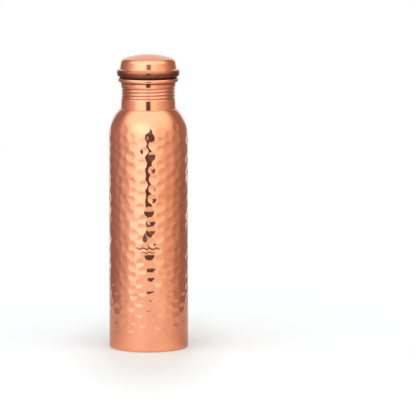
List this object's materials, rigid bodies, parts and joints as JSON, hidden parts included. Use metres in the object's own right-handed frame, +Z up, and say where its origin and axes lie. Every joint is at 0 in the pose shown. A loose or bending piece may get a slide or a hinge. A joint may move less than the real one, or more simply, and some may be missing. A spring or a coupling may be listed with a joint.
{
  "type": "water bottle",
  "caption": "Tall round copper water bottle with a hammered body, a smooth threaded neck with a rolled lip, and a domed screw cap with a threaded plug and gasket.",
  "frame": {"origin": "centre of the flat ring that the bottle stands on", "axes": "+Z up along the bottle's axis, from the foot to the top of the cap; the body is round, so +X is any direction across it"},
  "size_m": [0.075, 0.075, 0.279],
  "materials": {
    "hammered_copper": "hammered and polished",
    "spun_copper": "spun and polished",
    "pressed_copper": "pressed, satin",
    "silicone": "matt"
  },
  "bodies": {
    "bottle": {"body_shell": "hammered_copper", "base_disc": "pressed_copper", "neck_collar": "spun_copper"},
    "seal": {"gasket": "silicone"},
    "cap": {"cap_shell": "spun_copper", "cap_plug": "pressed_copper", "plug_disc": "pressed_copper"}
  },
  "joints": [
    {"name": "cap_rise", "type": "slide", "parent": "bottle", "child": "seal", "axis": [0, 0, 1], "range_m": [0, 0.032]},
    {"name": "cap_turn", "type": "hinge", "parent": "seal", "child": "cap", "pos_m": [0, 0, 0.258], "axis": [0, 0, 1], "range_deg": [0, 3600]}
  ],
  "couplings": [
    {"joint": "cap_rise", "follows": "cap_turn", "m_per_rad": 0.00050929}
  ]
}
